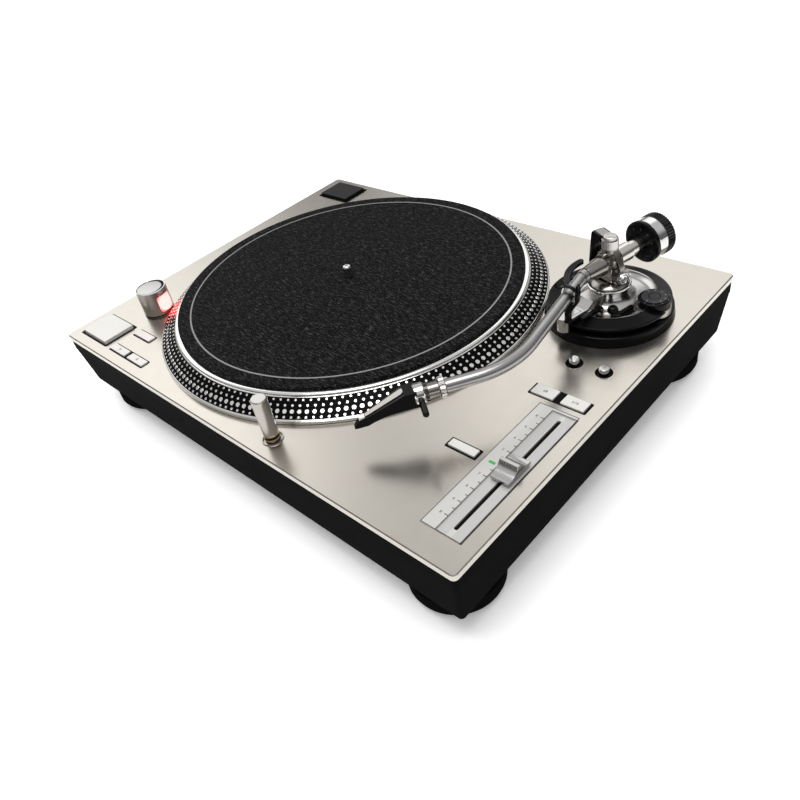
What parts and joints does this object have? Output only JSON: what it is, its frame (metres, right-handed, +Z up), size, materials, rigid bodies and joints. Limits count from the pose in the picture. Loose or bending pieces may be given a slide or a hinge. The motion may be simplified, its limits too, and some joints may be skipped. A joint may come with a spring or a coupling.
{
  "type": "dj turntable",
  "caption": "Direct-drive turntable with a felt-covered platter, S-shaped tonearm in its rest, pitch fader, pop-up light, strobe tower and push keys.",
  "frame": {"origin": "middle of the plinth's footprint, on the surface that the feet stand on", "axes": "+X to the right of someone playing it, +Y to the rear, +Z up"},
  "size_m": [0.45, 0.345, 0.1432],
  "materials": {
    "plate_silver": "satin anodised, champagne silver",
    "plinth_black": "matt black",
    "base_black": "heavy black rubber",
    "platter_metal": "machined and polished edge",
    "felt": "charcoal felt",
    "motor_steel": "plain",
    "chrome_bright": "polished",
    "arm_black": "semi-gloss black",
    "arm_silver": "satin",
    "dial_grey": "satin grey",
    "key_silver": "satin",
    "key_white": "satin white, lit",
    "panel_white": "satin white",
    "red_glass": "clear red, lit from inside",
    "board_green": "bare circuit board",
    "stylus_black": "gloss black"
  },
  "bodies": {
    "plinth": {"top_plate": "plate_silver", "upper_frame": "plinth_black", "base_shell": "base_black", "bottom_cover": "base_black", "stop_bezels": "plinth_black", "small_bezels": "plinth_black", "fader_panel": "panel_white", "control_board": "board_green", "strobe_tower": "arm_black", "strobe_window": "red_glass", "light_socket": "chrome_bright", "motor_stator": "motor_steel", "terminal_panel": "plinth_black", "rear_sockets": "chrome_bright", "arm_mount_sleeve": "motor_steel"},
    "platter_assembly": {"platter": "platter_metal", "rotor": "motor_steel", "spindle": "chrome_bright", "slipmat": "felt"},
    "foot_front_left_body": {"foot_front_left": "base_black"},
    "foot_front_right_body": {"foot_front_right": "base_black"},
    "foot_rear_left_body": {"foot_rear_left": "base_black"},
    "foot_rear_right_body": {"foot_rear_right": "base_black"},
    "start_button_front_body": {"start_button_front": "key_silver"},
    "start_button_rear_body": {"start_button_rear": "key_silver"},
    "speed_button_33_body": {"speed_button_33": "key_silver"},
    "speed_button_45_body": {"speed_button_45": "key_silver"},
    "reverse_button_body": {"reverse_button": "key_silver"},
    "reset_button_body": {"reset_button": "key_white"},
    "range_button_left_body": {"range_button_left": "key_white"},
    "range_button_right_body": {"range_button_right": "key_white"},
    "pitch_fader_body": {"pitch_fader": "key_silver"},
    "torque_knob_body": {"torque_knob": "plinth_black"},
    "brake_knob_body": {"brake_knob": "plinth_black"},
    "target_light_body": {"target_light": "plate_silver"},
    "power_dial_body": {"power_dial": "dial_grey"},
    "height_ring_body": {"height_ring": "arm_black"},
    "arm_carriage": {"arm_saucer": "arm_black", "arm_dish": "chrome_bright", "pivot_cup": "arm_black", "gimbal_yoke": "arm_black", "bearing_cap": "chrome_bright", "rest_bracket": "chrome_bright", "arm_rest": "arm_black", "antiskate_skirt": "arm_silver"},
    "rest_clip_body": {"rest_clip": "arm_black"},
    "lock_lever_body": {"lock_lever": "chrome_bright"},
    "antiskate_body": {"antiskate_dial": "arm_black"},
    "cue_lever_body": {"cue_lever": "arm_black"},
    "cue_lift_body": {"cue_lift": "arm_black"},
    "arm_yaw_body": {"gimbal_housing": "arm_black", "gimbal_arch": "arm_silver"},
    "tonearm": {"arm_barrel": "arm_silver", "arm_tube": "chrome_bright", "arm_socket": "chrome_bright"},
    "locking_collar_body": {"locking_collar": "chrome_bright"},
    "cartridge_body": {"cartridge": "stylus_black"},
    "bushing_body": {"weight_bushing": "arm_silver"},
    "counterweight_body": {"counterweight": "arm_silver"},
    "force_dial_body": {"force_dial": "arm_black"}
  },
  "joints": [
    {"name": "platter_spin", "type": "hinge", "parent": "plinth", "child": "platter_assembly", "pos_m": [-0.031, 0.0045, 0.078], "axis": [0, 0, 1], "continuous": true},
    {"name": "foot_front_left_level", "type": "hinge", "parent": "plinth", "child": "foot_front_left_body", "pos_m": [-0.185, -0.1325, 0], "axis": [0, 0, 1], "range_deg": [-180, 180]},
    {"name": "foot_front_right_level", "type": "hinge", "parent": "plinth", "child": "foot_front_right_body", "pos_m": [0.185, -0.1325, 0], "axis": [0, 0, 1], "range_deg": [-180, 180]},
    {"name": "foot_rear_left_level", "type": "hinge", "parent": "plinth", "child": "foot_rear_left_body", "pos_m": [-0.185, 0.1325, 0], "axis": [0, 0, 1], "range_deg": [-180, 180]},
    {"name": "foot_rear_right_level", "type": "hinge", "parent": "plinth", "child": "foot_rear_right_body", "pos_m": [0.185, 0.1325, 0], "axis": [0, 0, 1], "range_deg": [-180, 180]},
    {"name": "start_button_front_press", "type": "slide", "parent": "plinth", "child": "start_button_front_body", "axis": [0, 0, -1], "range_m": [0, 0.001], "stiffness_N_per_m": 500, "springref_m": -0.001},
    {"name": "start_button_rear_press", "type": "slide", "parent": "plinth", "child": "start_button_rear_body", "axis": [0, 0, -1], "range_m": [0, 0.001], "stiffness_N_per_m": 500, "springref_m": -0.001},
    {"name": "speed_button_33_press", "type": "slide", "parent": "plinth", "child": "speed_button_33_body", "axis": [0, 0, -1], "range_m": [0, 0.001], "stiffness_N_per_m": 500, "springref_m": -0.001},
    {"name": "speed_button_45_press", "type": "slide", "parent": "plinth", "child": "speed_button_45_body", "axis": [0, 0, -1], "range_m": [0, 0.001], "stiffness_N_per_m": 500, "springref_m": -0.001},
    {"name": "reverse_button_press", "type": "slide", "parent": "plinth", "child": "reverse_button_body", "axis": [0, 0, -1], "range_m": [0, 0.001], "stiffness_N_per_m": 500, "springref_m": -0.001},
    {"name": "reset_button_press", "type": "slide", "parent": "plinth", "child": "reset_button_body", "axis": [0, 0, -1], "range_m": [0, 0.001], "stiffness_N_per_m": 500, "springref_m": -0.001},
    {"name": "range_button_left_press", "type": "slide", "parent": "plinth", "child": "range_button_left_body", "axis": [0, 0, -1], "range_m": [0, 0.001], "stiffness_N_per_m": 500, "springref_m": -0.001},
    {"name": "range_button_right_press", "type": "slide", "parent": "plinth", "child": "range_button_right_body", "axis": [0, 0, -1], "range_m": [0, 0.001], "stiffness_N_per_m": 500, "springref_m": -0.001},
    {"name": "pitch_slide", "type": "slide", "parent": "plinth", "child": "pitch_fader_body", "axis": [0, 1, 0], "range_m": [-0.05, 0.05]},
    {"name": "torque_knob_turn", "type": "hinge", "parent": "plinth", "child": "torque_knob_body", "pos_m": [0.1803, 0.0171, 0.078], "axis": [0, 0, 1], "range_deg": [-150, 150]},
    {"name": "brake_knob_turn", "type": "hinge", "parent": "plinth", "child": "brake_knob_body", "pos_m": [0.2029, 0.018, 0.078], "axis": [0, 0, 1], "range_deg": [-150, 150]},
    {"name": "light_rise", "type": "slide", "parent": "plinth", "child": "target_light_body", "axis": [0, 0, -1], "range_m": [0, 0.034]},
    {"name": "power_turn", "type": "hinge", "parent": "plinth", "child": "power_dial_body", "pos_m": [-0.1773, -0.1022, 0.078], "axis": [0, 0, 1], "range_deg": [0, 40]},
    {"name": "height_ring_turn", "type": "hinge", "parent": "plinth", "child": "height_ring_body", "pos_m": [0.168, 0.084, 0.078], "axis": [0, 0, 1], "range_deg": [0, 270]},
    {"name": "arm_height", "type": "slide", "parent": "plinth", "child": "arm_carriage", "axis": [0, 0, 1], "range_m": [0, 0.006]},
    {"name": "rest_clip_swing", "type": "hinge", "parent": "arm_carriage", "child": "rest_clip_body", "pos_m": [0.17204, 0.0356, 0.1226], "axis": [-0.1323, 0.9912, 0], "range_deg": [0, 100]},
    {"name": "lock_lever_swing", "type": "hinge", "parent": "arm_carriage", "child": "lock_lever_body", "pos_m": [0.18966, 0.07821, 0.0918], "axis": [0, 0, 1], "range_deg": [-12, 6]},
    {"name": "antiskate_turn", "type": "hinge", "parent": "arm_carriage", "child": "antiskate_body", "pos_m": [0.20145, 0.08852, 0.0874], "axis": [0, 0, 1], "range_deg": [0, 270]},
    {"name": "cue_lever_swing", "type": "hinge", "parent": "arm_carriage", "child": "cue_lever_body", "pos_m": [0.1747, 0.06, 0.0956], "axis": [-0.9767, 0.2147, 0], "range_deg": [0, 35]},
    {"name": "cue_lift_rise", "type": "slide", "parent": "arm_carriage", "child": "cue_lift_body", "axis": [0, 0, 1], "range_m": [0, 0.0042]},
    {"name": "arm_swing", "type": "hinge", "parent": "arm_carriage", "child": "arm_yaw_body", "pos_m": [0.168, 0.084, 0.103], "axis": [0, 0, 1], "range_deg": [-46, 0]},
    {"name": "arm_tilt", "type": "hinge", "parent": "arm_yaw_body", "child": "tonearm", "pos_m": [0.168, 0.084, 0.1115], "axis": [-0.9659, 0.2588, 0], "range_deg": [0, 2]},
    {"name": "collar_turn", "type": "hinge", "parent": "tonearm", "child": "locking_collar_body", "pos_m": [0.11066, -0.12998, 0.10993], "axis": [-0.6015, -0.7975, -0.0463], "range_deg": [0, 120]},
    {"name": "cartridge_pull", "type": "slide", "parent": "tonearm", "child": "cartridge_body", "axis": [-0.6015, -0.7975, -0.0463], "range_m": [0, 0.012]},
    {"name": "bushing_slide", "type": "slide", "parent": "tonearm", "child": "bushing_body", "axis": [0.2585, 0.9647, 0.0499], "range_m": [-0.006, 0.006]},
    {"name": "counterweight_turn", "type": "hinge", "parent": "bushing_body", "child": "counterweight_body", "pos_m": [0.17886, 0.12452, 0.1231], "axis": [0.2585, 0.9647, 0.0499], "range_deg": [-720, 720]},
    {"name": "force_dial_turn", "type": "hinge", "parent": "bushing_body", "child": "force_dial_body", "pos_m": [0.17627, 0.11487, 0.1226], "axis": [0.2585, 0.9647, 0.0499], "continuous": true}
  ],
  "couplings": [
    {"joint": "height_ring_turn", "follows": "arm_height", "rad_per_m": 785.4},
    {"joint": "cue_lever_swing", "follows": "cue_lift_rise", "rad_per_m": 145.44},
    {"joint": "counterweight_turn", "follows": "bushing_slide", "rad_per_m": 2094.4}
  ]
}
